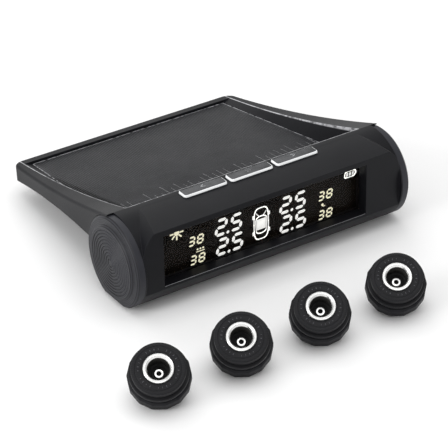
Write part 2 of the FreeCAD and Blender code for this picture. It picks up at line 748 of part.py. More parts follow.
ROW_LENGTH = "(2 * %s + Sizes.button_length + 2 * Sizes.button_board_margin)" % BUTTON_PITCH
button_board = padded("button_board", "XY_Plane", rectangle(ROW_LENGTH, "Sizes.button_board_depth"),
                      "Sizes.button_board_thickness")
BUTTON_BOARD_Y = "%s + Sizes.button_board_depth / 2" % FRAME_BACK
BUTTON_BOARD_Z = BUTTON_BOARD_TOP + " - Sizes.button_board_thickness / 2"
setPlace(button_board, "Sizes.button_row_shift", BUTTON_BOARD_Y, BUTTON_BOARD_Z)

switches = []
for step in (-1, 0, 1):
    centre = "Sizes.button_row_shift + %d * %s" % (step, BUTTON_PITCH)
    switches.append(box("Switch", "Sizes.switch_side", "Sizes.switch_side", "Sizes.switch_rise",
                        centre, "Sizes.button_row_y", BUTTON_BOARD_TOP))
keep(fuse("SwitchRow", *switches), "tact_switches")

shield = box("rf_shield", "Sizes.shield_length", "Sizes.shield_depth", "Sizes.shield_height",
             "-%s / 2 + Sizes.shield_inset + Sizes.shield_length / 2" % BOARD_LENGTH,
             BOARD_BACK + " + Sizes.shield_depth / 2",
             "%s - Sizes.shield_height / 2" % AXIS)
keep(shield, "rf_shield")

buzzer_x = "%s / 2 - Sizes.buzzer_inset - Sizes.buzzer_radius" % BOARD_LENGTH
buzzer = cylinder("buzzer", "Sizes.buzzer_radius", "Sizes.buzzer_height", buzzer_x, BOARD_BACK, AXIS, ALONG_Y)
keep(buzzer, "buzzer")


def antennaCoil():
    """The receiver's coil: a close helix of wire beside the shield, its first turn on the board."""
    radius = size("coil_radius")
    wire = size("coil_wire")
    pitch = size("coil_pitch")
    helix = Part.makeHelix(pitch, pitch * size("coil_turns"), radius)
    start = V(radius, 0, 0)
    section = Part.Wire(Part.makeCircle(wire, start, V(0, 1, 0)))
    coil = Part.Wire(helix).makePipeShell([section], True, True)
    coil.rotate(V(0, 0, 0), V(0, 1, 0), 90)
    place_y = formula(BOARD_BACK) + radius + wire
    place_x = -formula(BOARD_LENGTH) / 2 + wire + 1
    coil.translate(V(place_x, place_y, formula(AXIS)))
    return coil


fromShape("antenna_coil", antennaCoil())

USB_MIDDLE = "(Sizes.unit_width / 2 - Sizes.usb_inset - Sizes.usb_depth / 2)"
USB_LOW = "(%s - Sizes.usb_width / 2)" % AXIS
usb_shell = box("UsbShell", "Sizes.usb_depth", "Sizes.usb_height", "Sizes.usb_width",
                USB_MIDDLE, USB_MIDDLE_Y, USB_LOW)
usb_room = box("UsbRoom", "Sizes.usb_depth", "Sizes.usb_height - 2 * Sizes.usb_wall",
               "Sizes.usb_width - 2 * Sizes.usb_wall", USB_MIDDLE + " + Sizes.usb_wall", USB_MIDDLE_Y, USB_LOW + " + Sizes.usb_wall")
usb_tongue = box("UsbTongue", "Sizes.usb_depth * 0.7", "Sizes.usb_wall * 2", "Sizes.usb_width * 0.6",
                 USB_MIDDLE + " - Sizes.usb_depth * 0.13", USB_MIDDLE_Y, AXIS + " - Sizes.usb_width * 0.3")
keep(fuse("UsbInlet", cut("UsbCut", usb_shell, usb_room), usb_tongue), "usb_inlet")

battery = cylinder("battery_cell", "Sizes.battery_radius", "Sizes.battery_length",
                   "-Sizes.battery_length / 2", "Sizes.battery_back", BATTERY_HEIGHT, ALONG_X)
keep(battery, "battery_cell")


def batteryCradle():
    """A foam block under the cell, hollowed to its round side and shaped to the roller's bore."""
    length = size("battery_length") * 0.8
    bore = formula(BORE)
    radius = size("battery_radius")
    back = size("battery_back")
    block = Part.makeBox(length, 2 * radius, radius, V(-length / 2, back - radius, formula(FLOOR_TOP)))
    inside = Part.makeCylinder(bore, length, V(-length / 2, 0, formula(AXIS)), V(1, 0, 0))
    cell = Part.makeCylinder(radius, 2 * length, V(-length, back, formula(BATTERY_HEIGHT)), V(1, 0, 0))
    solids = block.common(inside).cut(cell).Solids
    return max(solids, key=lambda solid: solid.Volume)


fromShape("battery_cradle", batteryCradle())

# ---- solar panel ----
fromShape("solar_glass", panelPlate(0, size("glass_thickness"), size("fit_gap")))
fromShape("solar_cells", panelPlate(size("glass_thickness"), size("cell_thickness"), size("fit_gap")))


# ---- buttons ----
def pushButton(label, centre):
    """A key with rounded corners, a soft top edge and a wider flange under the shell."""
    length = size("button_length")
    depth = size("button_depth")
    bottom = formula(FLANGE_BOTTOM)
    top = formula(BUTTON_TOP)
    corner = V(centre - length / 2, size("button_row_y") - depth / 2, bottom)
    key = Part.makeBox(length, depth, top - bottom, corner)
    uprights = [edge for edge in key.Edges if edge.BoundBox.ZLength > top - bottom - 0.1]
    key = key.makeFillet(size("button_round"), uprights)
    upper = [edge for edge in key.Edges if edge.BoundBox.ZMin > top - 0.01]
    key = key.makeFillet(size("button_proud") * 0.7, upper)
    wide = length + 2 * size("button_flange")
    corner = V(centre - wide / 2, size("button_row_y") - depth / 2, bottom)
    plate = Part.makeBox(wide, depth, size("button_flange_thickness"), corner)
    return fromShape(label, key.fuse(plate).removeSplitter())


for label, centre in zip(("button_left", "button_set", "button_right"), buttonCentres()):
    pushButton(label, centre)


# ---- sensors ----
SHOULDER_BOTTOM = "(Sizes.sensor_cap_height + 2 * Sizes.sensor_seal_wire + 2 * Sizes.sensor_thread_gap)"
SHOULDER_TOP = "(%s + Sizes.sensor_shoulder_height)" % SHOULDER_BOTTOM
GROOVE_TOP = "(%s + Sizes.sensor_groove_height)" % SHOULDER_TOP
SPIGOT_BOTTOM = "(%s - Sizes.sensor_spigot_length)" % SHOULDER_BOTTOM
INSERT_TOP = "(Sizes.sensor_height + Sizes.insert_proud)"
BOARD_TOP = "(%s + Sizes.sensor_board_thickness)" % SPIGOT_BOTTOM
PIN_TOP = "(%s - Sizes.depressor_drop)" % SHOULDER_BOTTOM
SEAL_TOP = "(%s - Sizes.seal_drop)" % SHOULDER_BOTTOM
INSERT_RADIUS = "(Sizes.valve_bore_radius + Sizes.insert_wall)"
INSERT_FLANGE = "(%s + Sizes.insert_flange_lip)" % INSERT_RADIUS
INSERT_FLANGE_LOW = "(%s - Sizes.insert_flange_height)" % INSERT_TOP


def stand(body, number):
    """Lay one sensor in the row, resting on a flank of its rear cap, its face towards the viewer."""
    heading = math.radians(size("sensor_heading"))
    flank = size("sensor_radius") - size("sensor_rear_radius")
    lean = math.degrees(math.atan2(size("sensor_chamfer"), flank))
    axis = V(math.cos(heading), -math.sin(heading), 0)
    base = V(size("sensor_row_x") + number * size("sensor_pitch"), size("sensor_row_y"), 0)
    base.z = size("sensor_rear_radius") * math.sin(math.radians(lean))
    body.Placement = FreeCAD.Placement(base, FreeCAD.Rotation(axis, lean))
    return body


def polygon(apothem, height, turn):
    """A regular polygon with a flat facing the heading."""
    radius = apothem / math.cos(math.pi / FACET_COUNT)
    corners = []
    for index in range(FACET_COUNT + 1):
        angle = turn + math.pi / FACET_COUNT + 2 * math.pi * index / FACET_COUNT
        corners.append(V(radius * math.cos(angle), radius * math.sin(angle), height))
    return Part.makePolygon(corners)


def sensorCapShape():
    """The rear cap: a faceted cup whose flanks slope in to a small rear flat, with a tool notch."""
    turn = -math.pi / 2 - math.radians(size("sensor_heading"))
    radius = size("sensor_radius")
    height = size("sensor_cap_height")
    chamfer = size("sensor_chamfer")
    rear = polygon(size("sensor_rear_radius"), 0, turn)
    lower = Part.makeLoft([rear, polygon(radius, chamfer, turn)], True, True)
    rim = 0.5
    edge = polygon(radius, height - rim, turn)
    middle = Part.makeLoft([polygon(radius, chamfer, turn), edge], True, True)
    upper = Part.makeLoft([edge, polygon(radius - rim, height, turn)], True, True)
    solid = lower.fuse([middle, upper]).removeSplitter()
    bore = size("sensor_spigot_radius") + size("sensor_thread_gap")
    cell_room = size("sensor_cell_radius") + size("sensor_cell_gap")
    hollow = Part.makeCylinder(cell_room, height, V(0, 0, size("sensor_cap_floor")))
    thread = Part.makeCylinder(bore, height, V(0, 0, formula(SPIGOT_BOTTOM) - 4 * size("sensor_thread_gap")))
    width = size("sensor_notch_width")
    corner = V(radius - size("sensor_notch_depth"), -width / 2, chamfer + 1)
    notch = Part.makeBox(2 * size("sensor_notch_depth"), width, height, corner)
    notch.rotate(V(0, 0, 0), V(0, 0, 1), math.degrees(turn) + 90)
    return solid.cut([hollow, thread, notch])


def sensorBase(label):
    """The front half: threaded spigot, shoulder, groove and raised head."""
    edge = 0.5
    inner = "Sizes.sensor_board_radius"
    spigot = "Sizes.sensor_spigot_radius"
    shoulder = "Sizes.sensor_shoulder_radius"
    groove = "Sizes.sensor_groove_radius"
    head = "Sizes.sensor_head_radius"
    top = "Sizes.sensor_height"
    points = [(INSERT_RADIUS, SHOULDER_BOTTOM), (inner, SHOULDER_BOTTOM), (inner, SPIGOT_BOTTOM)]
    points += [(spigot, SPIGOT_BOTTOM), (spigot, SHOULDER_BOTTOM), (shoulder, SHOULDER_BOTTOM)]
    points += [(shoulder, SHOULDER_TOP), (groove, SHOULDER_TOP), (groove, GROOVE_TOP), (head, GROOVE_TOP)]
    points += [(head, "%s - %s" % (top, edge)), ("%s - %s" % (head, edge), top), (INSERT_FLANGE, top)]
    points += [(INSERT_FLANGE, INSERT_FLANGE_LOW), (INSERT_RADIUS, INSERT_FLANGE_LOW)]
    return turned(label, points)


def threadInsert(label):
    bore = "Sizes.valve_bore_radius"
    edge = 0.2
    points = [(bore, SHOULDER_BOTTOM), (INSERT_RADIUS, SHOULDER_BOTTOM), (INSERT_RADIUS, INSERT_FLANGE_LOW)]
    points += [(INSERT_FLANGE, INSERT_FLANGE_LOW), (INSERT_FLANGE, "%s - %s" % (INSERT_TOP, edge))]
    points.append(("%s - %s" % (INSERT_FLANGE, edge), INSERT_TOP))
    points.append((bore + " + Sizes.valve_mouth_chamfer", INSERT_TOP))
    points.append((bore, INSERT_TOP + " - Sizes.valve_mouth_chamfer"))
    return turned(label, points)


def valveSeal(label):
    inner = "Sizes.depressor_radius"
    points = [(inner, BOARD_TOP), (INSERT_RADIUS, BOARD_TOP), (INSERT_RADIUS, SEAL_TOP), (inner, SEAL_TOP)]
    return turned(label, points)


def depressor(label):
    floor = "%s - 2 * Sizes.depressor_hole" % PIN_TOP
    radius = "Sizes.depressor_radius"
    points = [("0", BOARD_TOP), (radius, BOARD_TOP), (radius, "%s - 0.3" % PIN_TOP), (radius + " - 0.3", PIN_TOP)]
    points += [ ("Sizes.depressor_hole", PIN_TOP)]
    points += [("Sizes.depressor_hole", floor), ("0", floor)]
    return turned(label, points)


def discBetween(label, radius, low, high):
    return turned(label, [("0", low), (radius, low), (radius, high), ("0", high)])


def sensorPieces(number):
    """All the pieces of one valve-cap sensor, laid in the row."""
    prefix = "sensor_%d_" % (number + 1)
    stand(fromShape(prefix + "cap", sensorCapShape()), number)
    stand(sensorBase(prefix + "base"), number)
    stand(threadInsert(prefix + "insert"), number)
    stand(valveSeal(prefix + "valve_seal"), number)
    stand(depressor(prefix + "depressor"), number)
    stand(discBetween(prefix + "board", "Sizes.sensor_board_radius", SPIGOT_BOTTOM, BOARD_TOP), number)
    cell_low = "%s - Sizes.sensor_cell_height" % SPIGOT_BOTTOM
    stand(discBetween(prefix + "cell", "Sizes.sensor_cell_radius", cell_low, SPIGOT_BOTTOM), number)
    wire = size("sensor_seal_wire")
    ring_radius = size("sensor_spigot_radius") + size("sensor_thread_gap") + wire
    centre = V(0, 0, size("sensor_cap_height") + wire + size("sensor_thread_gap"))
    stand(fromShape(prefix + "cap_seal", Part.makeTorus(ring_radius, wire, centre)), number)


for number in range(SENSOR_COUNT):
    sensorPieces(number)

doc.recompute()


# ---- checks and export ----
faults = [item.Name for item in doc.Objects if "Invalid" in item.State or "Error" in item.State]
faults += [piece.Label for piece in pieces if piece.Shape.isNull() or not piece.Shape.isValid()]
if faults:
    raise RuntimeError("failed: " + ", ".join(faults))

os.makedirs("parts", exist_ok=True)
for piece in pieces:
    piece.Shape.exportStep("parts/%s.step" % piece.Label)
print("%d pieces" % len(pieces))
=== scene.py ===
import bpy
import bmesh
import json
import math
import random
from mathutils import Matrix, Vector


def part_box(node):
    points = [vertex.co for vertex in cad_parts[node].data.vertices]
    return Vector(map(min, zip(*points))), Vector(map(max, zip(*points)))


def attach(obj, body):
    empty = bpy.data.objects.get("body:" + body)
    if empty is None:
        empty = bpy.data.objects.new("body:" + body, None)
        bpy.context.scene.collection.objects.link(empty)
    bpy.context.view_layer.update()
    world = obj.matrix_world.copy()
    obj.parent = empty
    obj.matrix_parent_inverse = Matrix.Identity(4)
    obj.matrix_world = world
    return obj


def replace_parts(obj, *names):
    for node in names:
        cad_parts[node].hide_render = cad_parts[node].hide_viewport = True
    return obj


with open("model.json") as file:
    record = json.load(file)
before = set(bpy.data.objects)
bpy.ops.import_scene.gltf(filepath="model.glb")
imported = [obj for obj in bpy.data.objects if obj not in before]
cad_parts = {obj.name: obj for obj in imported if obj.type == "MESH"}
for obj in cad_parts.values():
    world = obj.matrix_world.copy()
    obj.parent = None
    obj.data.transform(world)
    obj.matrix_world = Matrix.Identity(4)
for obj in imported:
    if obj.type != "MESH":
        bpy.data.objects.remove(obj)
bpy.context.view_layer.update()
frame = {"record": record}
record = frame["record"]
mm = 0.001
unit = "display_unit"


class Wire:  # one socket of a shader graph, which takes part in ordinary sums
    def __init__(self, graph, socket):
        self.graph = graph
        self.socket = socket

    def __add__(self, other):
        return self.graph.sum("ADD", self, other)

    def __sub__(self, other):
        return self.graph.sum("SUBTRACT", self, other)

    def __mul__(self, other):
        return self.graph.sum("MULTIPLY", self, other)

    def __truediv__(self, other):
        return self.graph.sum("DIVIDE", self, other)

    def __radd__(self, other):
        return self.graph.sum("ADD", other, self)

    def __rsub__(self, other):
        return self.graph.sum("SUBTRACT", other, self)

    def __rmul__(self, other):
        return self.graph.sum("MULTIPLY", other, self)

    def power(self, other):
        return self.graph.sum("POWER", self, other)

    def sine(self):
        return self.graph.sum("SINE", self, 0.0)

    def above(self, other):
        return self.graph.sum("GREATER_THAN", self, other)

    def below(self, other):
        return self.graph.sum("LESS_THAN", self, other)

    def size(self):
        return self.graph.sum("ABSOLUTE", self, 0.0)

    def larger(self, other):
        return self.graph.sum("MAXIMUM", self, other)


class Graph:  # a material's node tree with one Principled shader at its end
    def __init__(self, name, **shader):
        self.material = bpy.data.materials.new(name)
        self.material.use_nodes = True
        self.tree = self.material.node_tree
        self.tree.nodes.clear()
        self.end = self.tree.nodes.new("ShaderNodeOutputMaterial")
        self.shader = self.tree.nodes.new("ShaderNodeBsdfPrincipled")
        self.tree.links.new(self.shader.outputs["BSDF"], self.end.inputs["Surface"])
        self.set(**shader)

    def node(self, kind, settings=None, output=0, **inputs):
        made = self.tree.nodes.new(kind)
        for name, value in (settings or {}).items():
            setattr(made, name, value)
        for name, value in inputs.items():
            key = int(name[1:]) if name[0] == "_" else name.replace("_", " ")
            self.plug(made.inputs[key], value)
        return Wire(self, made.outputs[output])

    def plug(self, socket, value):
        if isinstance(value, Wire):
            self.tree.links.new(value.socket, socket)
        elif socket.type == "RGBA" and len(value) == 3:
            socket.default_value = (*value, 1.0)
        else:
            socket.default_value = value

    def set(self, **inputs):
        for name, value in inputs.items():
            self.plug(self.shader.inputs[name.replace("_", " ")], value)
        return self

    def sum(self, operation, first, second):
        return self.node("ShaderNodeMath", {"operation": operation}, _0=first, _1=second)

    def place(self):
        return self.node("ShaderNodeTexCoord", output="Object")

    def parts(self, vector):
        split = self.tree.nodes.new("ShaderNodeSeparateXYZ")
        self.tree.links.new(vector.socket, split.inputs[0])
        return [Wire(self, split.outputs[axis]) for axis in range(3)]

    def noise(self, scale, detail=4.0):
        where = self.place()
        return self.node("ShaderNodeTexNoise", Vector=where, Scale=scale, Detail=detail, Roughness=0.6)

    def fit(self, value, low, high, start=0.0, stop=1.0):
        return self.node("ShaderNodeMapRange", _0=value, _1=low, _2=high, _3=start, _4=stop)

    def blend(self, share, first, second):
        return self.node("ShaderNodeMix", {"data_type": "RGBA"}, output=2, _0=share, _6=first, _7=second)

    def bump(self, height, depth, strength=1.0, normal=None):
        extra = {"Normal": normal} if normal else {}
        return self.node("ShaderNodeBump", Strength=strength, Distance=depth, Height=height, **extra)

    def edge(self, radius):  # rounded normals, and how far a point is turned from its own face
        soft = self.node("ShaderNodeBevel", {"samples": 6}, Radius=radius)
        plain = self.node("ShaderNodeNewGeometry", output="True Normal")
        dot = {"operation": "DOT_PRODUCT"}
        facing = self.node("ShaderNodeVectorMath", dot, output="Value", _0=soft, _1=plain)
        return soft, self.fit(facing, 0.98, 0.80)


def tinted(color, amount):
    return tuple(channel * amount for channel in color)


def moulded(name, color, rough=0.5, grain=0.00002, pale=2.2, **shader):  # grain, and paler edges that are partly wear and partly a painted highlight
    graph = Graph(name, Specular_IOR_Level=0.15, **shader)
    soft, edgeBand = graph.edge(0.25 * mm)
    grainy = graph.noise(3600.0, 5.0)
    patchy = graph.noise(90.0, 3.0)
    smudged = graph.noise(28.0, 2.0)
    shade = graph.blend(graph.fit(patchy, 0.3, 0.7), tinted(color, 0.9), tinted(color, 1.1))
    # edges turned from their faces are painted paler: partly wear, partly a painted highlight where they
    # catch the light
    scuffAndGlint = edgeBand * graph.fit(graph.noise(700.0, 4.0), 0.35, 0.65, 0.3, 1.0)
    graph.set(Base_Color=graph.blend(scuffAndGlint, shade, tinted(color, pale)))
    graph.set(Roughness=graph.fit(smudged, 0.3, 0.7, rough - 0.05, rough + 0.06) - scuffAndGlint * 0.12)
    graph.set(Normal=graph.bump(grainy, grain, 0.7, soft))
    return graph.material


def metallic(name, color, rough=0.25, lines=0.0):  # fine scratches, dull patches, bright edges
    graph = Graph(name, Metallic=1.0)
    soft, edgeBand = graph.edge(0.08 * mm)
    patchy = graph.noise(260.0, 4.0)
    scratches = graph.noise(2400.0, 3.0)
    graph.set(Base_Color=graph.blend(graph.fit(patchy, 0.3, 0.75), color, tinted(color, 0.72)))
    graph.set(Roughness=graph.fit(patchy, 0.3, 0.7, rough, rough + 0.16) - edgeBand * 0.1)
    depth = 0.000004 + lines * 0.00001
    graph.set(Normal=graph.bump(scratches, depth, 0.6, soft))
    return graph.material


def ringed(name, color, rough, pitch, depth, axisPoint):  # fine rings about a line along X; their light and dark bands are partly a painted sheen of the turned grooves, and their paler edges partly a painted highlight
    graph = Graph(name, Specular_IOR_Level=0.3)
    soft, edgeBand = graph.edge(0.2 * mm)
    y, z = graph.parts(graph.place())[1:]
    away = ((y - axisPoint.y).power(2.0) + (z - axisPoint.z).power(2.0)).power(0.5)
    waves = (away * (2 * math.pi / pitch)).sine()
    # light and dark rings in colour: the turned pattern together with a painted sheen
    shade = graph.blend(graph.fit(waves, -1.0, 1.0), tinted(color, 0.5), tinted(color, 4.5))
    graph.set(Base_Color=graph.blend(edgeBand, shade, tinted(color, 2.4)))
    graph.set(Roughness=graph.fit(graph.noise(60.0), 0.3, 0.7, rough, rough + 0.12))
    graph.set(Normal=graph.bump(waves + graph.noise(3600.0) * 0.4, depth, 0.8, soft))
    return graph.material


def soldered(name):  # solder mask with pale tracks and tinned pads
    graph = Graph(name, Coat_Weight=0.4)
    where = graph.place()
    mesh = {"distance": "MANHATTAN", "feature": "DISTANCE_TO_EDGE"}
    cells = graph.node("ShaderNodeTexVoronoi", mesh, Vector=where, Scale=420.0)
    tracks = graph.fit(cells, 0.02, 0.06, 1.0, 0.0)
    dots = graph.fit(graph.node("ShaderNodeTexVoronoi", Vector=where, Scale=620.0), 0.16, 0.2, 1.0, 0.0)
    shade = graph.blend(tracks, (0.006, 0.05, 0.022), (0.02, 0.12, 0.05))
    graph.set(Base_Color=graph.blend(dots, shade, (0.62, 0.6, 0.52)))
    graph.set(Roughness=graph.fit(graph.noise(300.0), 0.3, 0.7, 0.3, 0.45))
    graph.set(Metallic=dots * 0.8)
    graph.set(Normal=graph.bump(tracks + dots, 0.00003, 0.6))
    return graph.material


def rubbery(name, color, rough=0.75, pitch=1500.0):
    graph = Graph(name)
    soft = graph.edge(0.2 * mm)[0]
    dusty = graph.fit(graph.noise(180.0, 5.0), 0.45, 0.8)
    graph.set(Base_Color=graph.blend(dusty, color, tinted(color, 1.7)))
    graph.set(Roughness=graph.fit(graph.noise(90.0), 0.3, 0.7, rough - 0.08, rough + 0.1))
    graph.set(Normal=graph.bump(graph.noise(pitch, 5.0), 0.00004, 0.8, soft))
    return graph.material


def glowing(name, color, strength):  # a lit segment, a little uneven from edge to edge
    graph = Graph(name, Roughness=0.4, Emission_Strength=strength)
    uneven = graph.fit(graph.noise(900.0, 2.0), 0.3, 0.7, 0.86, 1.0)
    graph.set(Base_Color=graph.blend(uneven, tinted(color, 0.7), color))
    graph.set(Emission_Color=graph.blend(uneven, tinted(color, 0.8), color))
    return graph.material


def wear(node, material):  # gives a CAD piece a material of this script's own
    slots = bpy.data.objects[node].data.materials
    slots.clear()
    slots.append(material)


def built(name, mesh, material, body):  # a smooth-shaded piece that rides on a body
    data = bpy.data.meshes.new(name)
    mesh.to_mesh(data)
    mesh.free()
    piece = bpy.data.objects.new(name, data)
    bpy.context.collection.objects.link(piece)
    for face in data.polygons:
        face.use_smooth = True
    data.materials.append(material)
    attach(piece, body)
    return piece


def softened(piece, width, steps=3, angle=35):  # rounds the edges and keeps flat faces flat
    bevel = piece.modifiers.new("Rounding", "BEVEL")
    bevel.width = width
    bevel.segments = steps
    bevel.limit_method = "ANGLE"
    bevel.angle_limit = math.radians(angle)
    bevel.harden_normals = True
    return piece


def rounded(points, radius, steps=4):  # a profile with short arcs in place of its inner corners
    out = [points[0]]
    for before, here, after in zip(points, points[1:], points[2:]):
        a = Vector(before) - Vector(here)
        b = Vector(after) - Vector(here)
        reach = min(radius, a.length * 0.45, b.length * 0.45)
        start = Vector(here) + a.normalized() * reach
        stop = Vector(here) + b.normalized() * reach
        for step in range(steps + 1):
            share = step / steps
            mixed = start * (1 - share) ** 2 + Vector(here) * 2 * share * (1 - share) + stop * share ** 2
            out.append(tuple(mixed))
    out.append(points[-1])
    return out


def joinRows(mesh, rows):  # a skin of quads over closed rings of equal count
    for low, high in zip(rows, rows[1:]):
        for step in range(len(low)):
            after = (step + 1) % len(low)
            mesh.faces.new((low[step], low[after], high[after], high[step]))


def lathe(profile, count=96):  # a profile of (radius, height) turned round Z
    mesh = bmesh.new()
    rows = []
    for radius, height in profile:
        turn = [2 * math.pi * step / count for step in range(count)]
        rows.append([mesh.verts.new((radius * math.cos(t), radius * math.sin(t), height)) for t in turn])
    joinRows(mesh, rows)
    return mesh


def slab(mesh, outline, normal, thickness):  # a flat plate of a given outline
    front = [mesh.verts.new(Vector(p) + normal * thickness) for p in outline]
    rear = [mesh.verts.new(Vector(p)) for p in outline]
    mesh.faces.new(front)
    mesh.faces.new(rear[::-1])
    for step in range(len(front)):
        after = (step + 1) % len(front)
        mesh.faces.new((front[after], front[step], rear[step], rear[after]))


charcoal = (0.0064, 0.0066, 0.0084)
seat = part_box("left_end_cap")
axisPoint = Vector((0, (seat[0].y + seat[1].y) / 2, seat[1].z - (seat[1].y - seat[0].y) / 2))

wing = {"front": 3.0, "length": 80.3, "ridge": 47.0, "ridgeTaper": 3.2, "panelHigh": 21.8,
        "panelFall": 0.129, "line": 0.16}


def ridgeHighlights(graph):  # how strongly a point lies on the ridge round the solar recess, where a pale line is painted as the ridge's highlight
    x, y, z = graph.parts(graph.place())
    along = (y - wing["front"] * mm) / (wing["length"] * mm)
    ridge = wing["ridge"] * mm - along * (wing["ridgeTaper"] * mm)
    beside = (x.size() - ridge).size()
    line = wing["line"]
    sides = graph.fit(beside, line * mm, line * 1.6 * mm, 1.0, 0.0) * y.above(wing["front"] * mm)
    ahead = (y - (wing["front"] + 0.25) * mm).size()
    front = graph.fit(ahead, line * mm, line * 1.8 * mm, 1.0, 0.0) * x.size().below(wing["ridge"] * mm)
    upper = z.above(wing["panelHigh"] * mm - y * wing["panelFall"])
    broken = graph.fit(graph.noise(420.0, 3.0), 0.36, 0.56, 0.25, 1.0)
    return sides.larger(front) * upper * broken


def housingPlastic():
    graph = Graph("HousingPlastic", Specular_IOR_Level=0.15)
    soft, edgeBand = graph.edge(0.35 * mm)
    patchy = graph.fit(graph.noise(90.0, 3.0), 0.3, 0.7)
    shade = graph.blend(patchy, tinted(charcoal, 0.9), tinted(charcoal, 1.12))
    # paler edges in colour: partly wear, partly a painted edge highlight
    scuffAndGlint = edgeBand * graph.fit(graph.noise(700.0, 4.0), 0.35, 0.65, 0.3, 1.0)
    # a broken pale line painted along the ridge as its highlight
    lines = ridgeHighlights(graph)
    wornAndEdgeLit = graph.blend(scuffAndGlint, shade, tinted(charcoal, 3.0))
    graph.set(Base_Color=graph.blend(lines, wornAndEdgeLit, (0.5, 0.5, 0.52)))
    graph.set(Roughness=graph.fit(graph.noise(28.0, 2.0), 0.3, 0.7, 0.40, 0.5) - scuffAndGlint * 0.12)
    graph.set(Normal=graph.bump(graph.noise(3600.0, 5.0), 0.00003, 0.7, soft))
    return graph.material


wear("main_housing", housingPlastic())
wear("base_cover", moulded("CoverPlastic", tinted(charcoal, 0.9), 0.55))
for side in ("left", "right"):
    wear(side + "_end_cap", ringed("RingedPlastic_" + side, charcoal, 0.42, 0.55 * mm, 0.00003, axisPoint))
wear("lcd_frame", moulded("FramePlastic", (0.03, 0.03, 0.032), 0.6))
print("housing done")


panel = {"pitch": 0.82 * mm, "rib": 0.14 * mm, "proud": 0.03 * mm, "inset": 1.1 * mm, "deep": 10.2 * mm,
         "rim": 45.4 * mm, "rimTaper": 4.9 * mm, "rimBack": (78.5 * mm, 78.8 * mm), "ends": (0.012, 0.988)}
contacts = {"count": 36, "first": 2, "every": 3, "start": 9, "short": 8.5, "long": 15.0, "half": 0.09 * mm}
glass = bpy.data.objects["solar_glass"].data


def solarCells():  # dark bands with a hair-fine line between them, grey under a clear cover, with a painted shadow of the ridge along its front and left
    graph = Graph("SolarFilm", Specular_IOR_Level=0.2)
    x, y = graph.parts(graph.place())[:2]
    along = (y - wing["front"] * mm) / (wing["length"] * mm)
    deep = (1.0 - along) * panel["deep"]
    bands = (x * (2 * math.pi / panel["pitch"])).sine()
    lines = graph.fit(bands, 0.1, 0.95)
    mottled = graph.fit(graph.noise(160.0, 4.0), 0.3, 0.7)
    dark = graph.blend(mottled, (0.008, 0.0083, 0.0098), (0.012, 0.0123, 0.0142))
    pale = graph.blend(mottled, (0.040, 0.041, 0.046), (0.055, 0.056, 0.063))
    film = graph.blend(lines, dark, pale)
    # a painted shadow cast by the ridge onto the panel, wider where the ridge stands higher
    fromRidge = x + wing["ridge"] * mm - along * (wing["ridgeTaper"] * mm)
    leftward = graph.fit(fromRidge - deep * 1.25, 0.0, 1.2 * mm, 1.0, 0.0)
    forward = graph.fit(y - wing["front"] * mm - deep * 1.8, 0.0, 4 * mm, 1.0, 0.0)
    shaded = leftward.larger(forward)
    half = panel["rim"] - along * panel["rimTaper"]
    sides = graph.fit(half - x.size(), 0.3 * mm, 0.5 * mm, 1.0, 0.0)
    border = sides.larger(graph.fit(y, *panel["rimBack"]))
    broken = graph.fit(graph.noise(520.0, 3.0), 0.40, 0.55)
    filmUnderShadow = graph.blend(shaded, film, (0.002, 0.002, 0.0025))
    graph.set(Base_Color=graph.blend(border * broken, filmUnderShadow, (0.42, 0.42, 0.44)))
    graph.set(Roughness=graph.fit(graph.noise(60.0), 0.3, 0.7, 0.36, 0.5) + shaded * 0.2)
    graph.set(Normal=graph.bump(bands, 0.00002, 0.5))
    return graph.material


def panelCorners():  # the four upper corners of the cover glass, from its CAD mesh
    points = [vert.co.copy() for vert in glass.vertices]
    front = min(p.y for p in points)
    back = max(p.y for p in points)
    edges = []
    for y in (front, back):
        row = [p for p in points if abs(p.y - y) < 0.05 * mm]
        top = max(p.z for p in row)
        upper = [p for p in row if top - p.z < 0.05 * mm]
        edges.append((min(upper, key=lambda p: p.x), max(upper, key=lambda p: p.x)))
    return edges[0][0], edges[0][1], edges[1][1], edges[1][0]


def panelRibs():  # raised lines from front to rear, cut off where the panel narrows
    frontLeft, frontRight, backRight, backLeft = panelCorners()
    along = backLeft - frontLeft
    normal = (frontRight - frontLeft).cross(Vector((0, along.y, along.z))).normalized()
    mesh = bmesh.new()
    half = panel["rib"] / 2
    count = int((frontRight.x - frontLeft.x - 2 * panel["inset"]) / panel["pitch"])
    for index in range(count + 1):
        x = frontLeft.x + panel["inset"] + index * panel["pitch"]
        narrow = (abs(x) - abs(backRight.x) + panel["inset"]) / (frontRight.x - backRight.x)
        reach = 1.0 if narrow <= 0 else max(0.0, 1.0 - narrow)
        start = Vector((x, frontLeft.y, frontLeft.z)) + Vector((0, along.y, along.z)) * panel["ends"][0]
        stop = Vector((x, frontLeft.y, frontLeft.z))
        stop += Vector((0, along.y, along.z)) * (panel["ends"][1] * reach)
        if stop.y - start.y < 2 * mm:
            continue
        side = Vector((half, 0, 0))
        slab(mesh, [start - side, start + side, stop + side, stop - side], normal, panel["proud"])
    return mesh


def panelContacts():  # short bright strips near the front edge
    frontLeft, frontRight, backRight, backLeft = panelCorners()
    along = backLeft - frontLeft
    normal = (frontRight - frontLeft).cross(Vector((0, along.y, along.z))).normalized()
    slope = Vector((0, along.y, along.z)).normalized()
    chance = random.Random(3)
    mesh = bmesh.new()
    side = Vector((contacts["half"], 0, 0))
    for index in range(contacts["count"]):
        x = frontLeft.x + contacts["first"] * mm + index * contacts["every"] * panel["pitch"]
        start = Vector((x, frontLeft.y, frontLeft.z)) + slope * contacts["start"] * mm
        stop = start + slope * chance.uniform(contacts["short"], contacts["long"]) * mm
        slab(mesh, [start - side, start + side, stop + side, stop - side], normal, panel["proud"])
    return mesh


